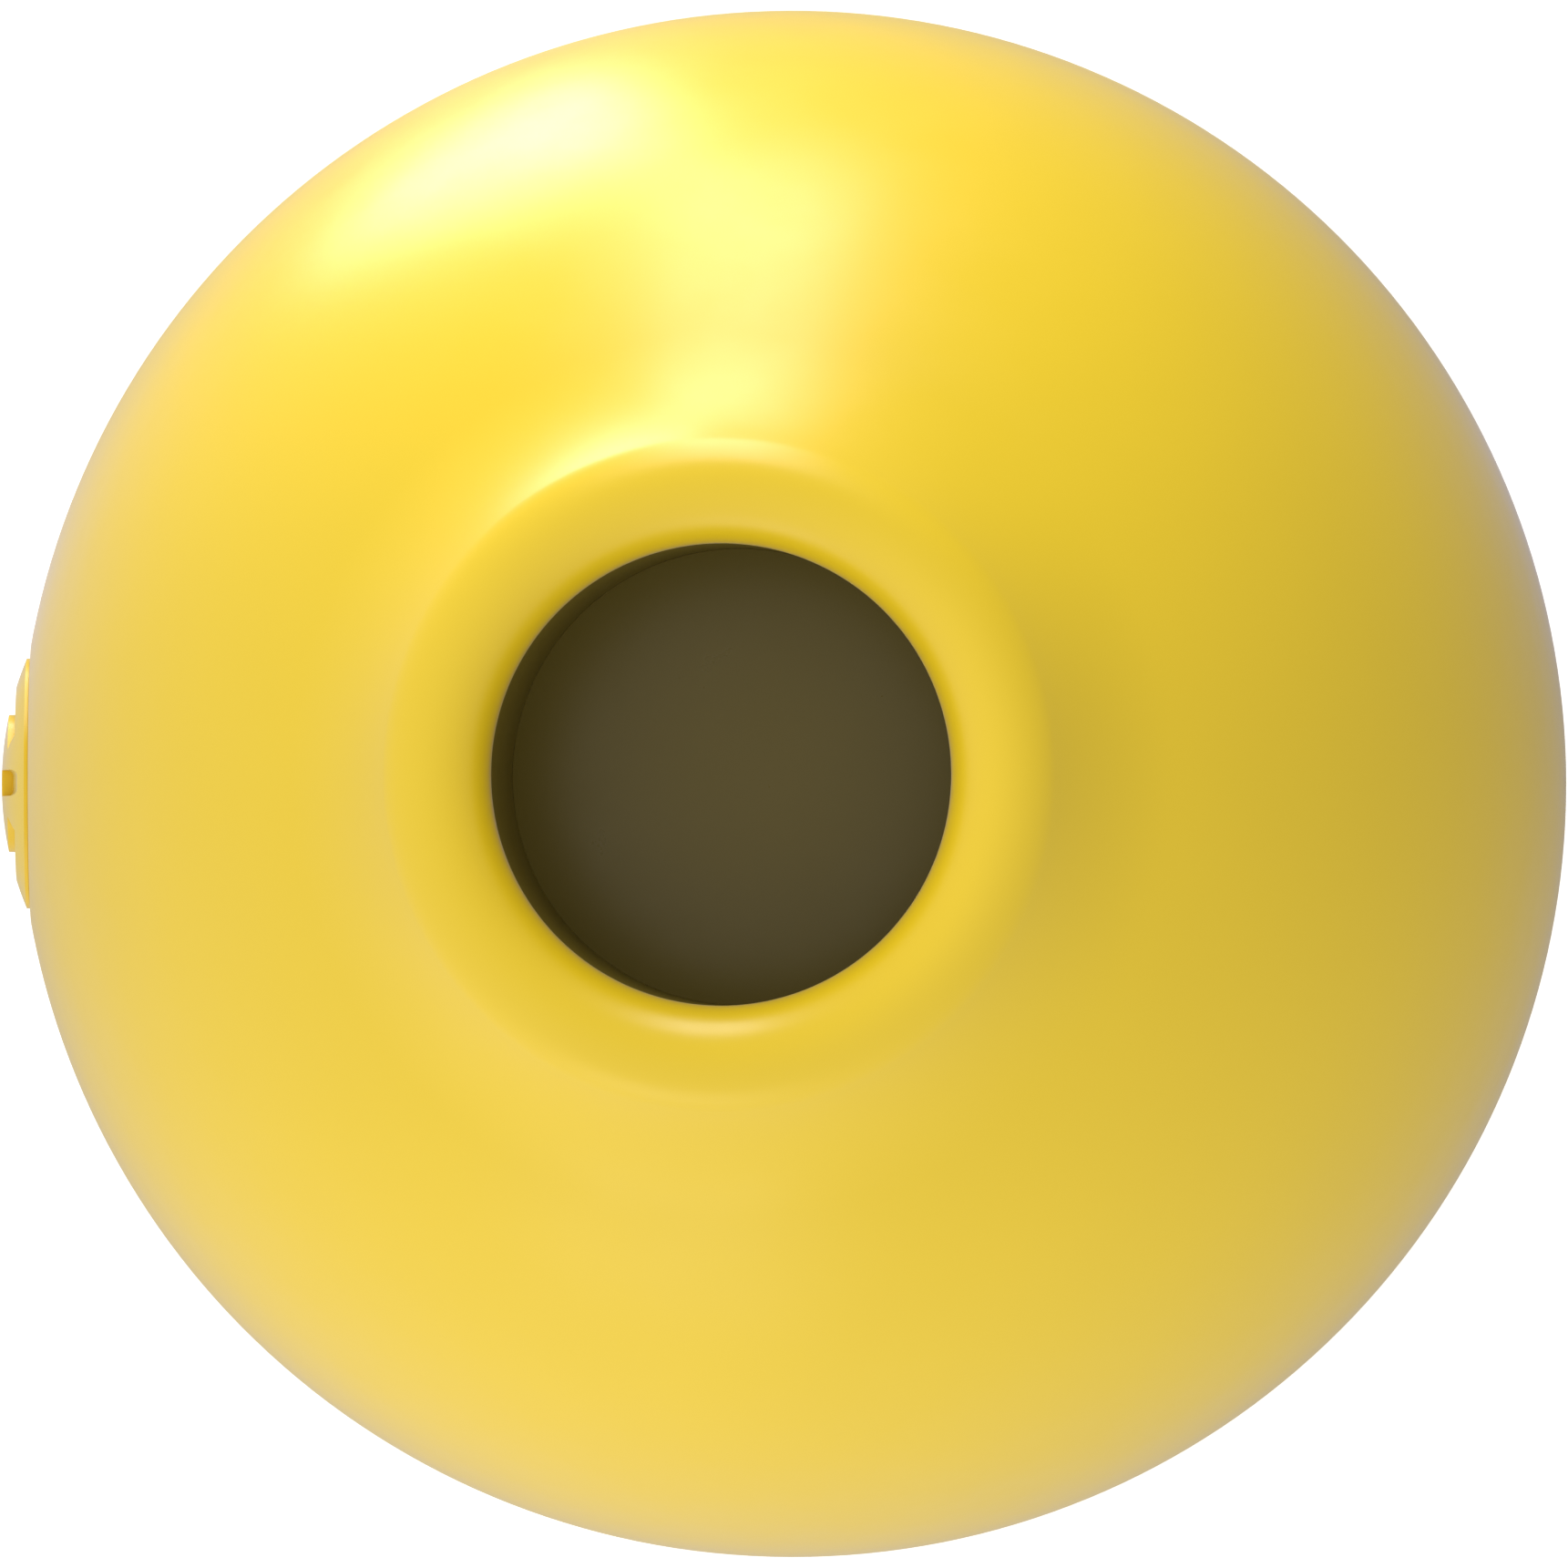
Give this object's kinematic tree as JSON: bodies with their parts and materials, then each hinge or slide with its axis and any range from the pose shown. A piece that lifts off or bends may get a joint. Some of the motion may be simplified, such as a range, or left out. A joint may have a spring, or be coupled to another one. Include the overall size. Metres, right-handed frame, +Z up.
{
  "type": "floating dive computer",
  "caption": "Hollow ball float with a rolled neck, a sealed canister with a dark round window down its well, a screw-capped air valve, a lock ring and a tether bail.",
  "frame": {"origin": "centre of the foot pad's flat face, on the plane that the object stands on", "axes": "+Z up along the float, well and canister axis, out through the neck; -X towards the air valve; the bail's pivots are on Y"},
  "size_m": [0.2822, 0.28, 0.3024],
  "materials": {
    "yellow_shell": "semi-matte moulded bright yellow",
    "olive_sleeve": "matte dark olive",
    "smoked_window": "smooth smoked, near opaque",
    "graphite_plastic": "fine matte",
    "black_rubber": "matte",
    "steel": "stainless, fine brushed",
    "gold_contact": "plated, polished",
    "ceramic": "fired, matte",
    "circuit_board": "solder mask, satin",
    "chip_package": "matte",
    "cell_wrap": "shrink film"
  },
  "bodies": {
    "float": {"float_shell": "yellow_shell", "throat_sleeve": "olive_sleeve", "base_ring": "graphite_plastic", "base_screw_1": "steel", "base_screw_2": "steel", "base_screw_3": "steel", "base_screw_4": "steel", "rubber_foot_1": "black_rubber", "rubber_foot_2": "black_rubber", "rubber_foot_3": "black_rubber", "rubber_foot_4": "black_rubber", "bail_pin_1": "steel", "bail_pin_2": "steel", "canister_tube": "graphite_plastic", "window_lens": "smoked_window", "window_o_ring": "black_rubber", "lower_o_ring": "black_rubber", "lower_cap": "graphite_plastic", "sonar_transducer": "ceramic", "foot_pad": "black_rubber", "pressure_sensor": "steel", "charge_contact_1": "gold_contact", "charge_contact_2": "gold_contact", "button_spring": "steel", "power_switch": "graphite_plastic", "battery_sled": "graphite_plastic", "battery_cell_1": "cell_wrap", "battery_cell_2": "cell_wrap", "battery_cell_3": "cell_wrap", "battery_spring_1": "steel", "battery_spring_2": "steel", "battery_spring_3": "steel", "main_board": "circuit_board", "board_rail_1": "graphite_plastic", "board_rail_2": "graphite_plastic", "processor": "chip_package", "radio_module": "steel", "satellite_receiver": "steel", "power_coil": "chip_package", "display_frame": "graphite_plastic", "display_panel": "smoked_window", "aerial_board": "circuit_board", "aerial_patch": "ceramic", "valve_body": "olive_sleeve", "valve_gasket": "black_rubber", "valve_nut": "graphite_plastic", "poppet_spring": "steel", "poppet_cage": "olive_sleeve"},
    "lock_ring": {"lock_ring": "olive_sleeve"},
    "tether_bail": {"tether_bail": "steel"},
    "power_button": {"power_button": "black_rubber"},
    "valve_poppet": {"valve_poppet": "graphite_plastic"},
    "cap_carrier": {"cap_seal": "black_rubber"},
    "valve_cap": {"valve_cap": "yellow_shell"}
  },
  "joints": [
    {"name": "lock_turn", "type": "hinge", "parent": "float", "child": "lock_ring", "pos_m": [0, 0, 0.007], "axis": [0, 0, 1], "range_deg": [0, 60]},
    {"name": "bail_swing", "type": "hinge", "parent": "float", "child": "tether_bail", "pos_m": [0, 0, 0.007], "axis": [0, 1, 0], "range_deg": [0, 180]},
    {"name": "button_press", "type": "slide", "parent": "float", "child": "power_button", "axis": [0, 0, 1], "range_m": [0, 0.0015], "stiffness_N_per_m": 800, "springref_m": -0.001, "deforming": ["button_spring"]},
    {"name": "poppet_open", "type": "slide", "parent": "float", "child": "valve_poppet", "axis": [0.9943, 0, -0.1064], "range_m": [0, 0.003], "stiffness_N_per_m": 600, "springref_m": -0.001, "deforming": ["poppet_spring"]},
    {"name": "cap_rise", "type": "slide", "parent": "float", "child": "cap_carrier", "axis": [-0.9943, 0, 0.1064], "range_m": [0, 0.005]},
    {"name": "cap_turn", "type": "hinge", "parent": "cap_carrier", "child": "valve_cap", "pos_m": [-0.13657, 0, 0.16124], "axis": [-0.9943, 0, 0.1064], "range_deg": [0, 720]}
  ],
  "couplings": [
    {"joint": "cap_turn", "follows": "cap_rise", "rad_per_m": 2513.3}
  ]
}
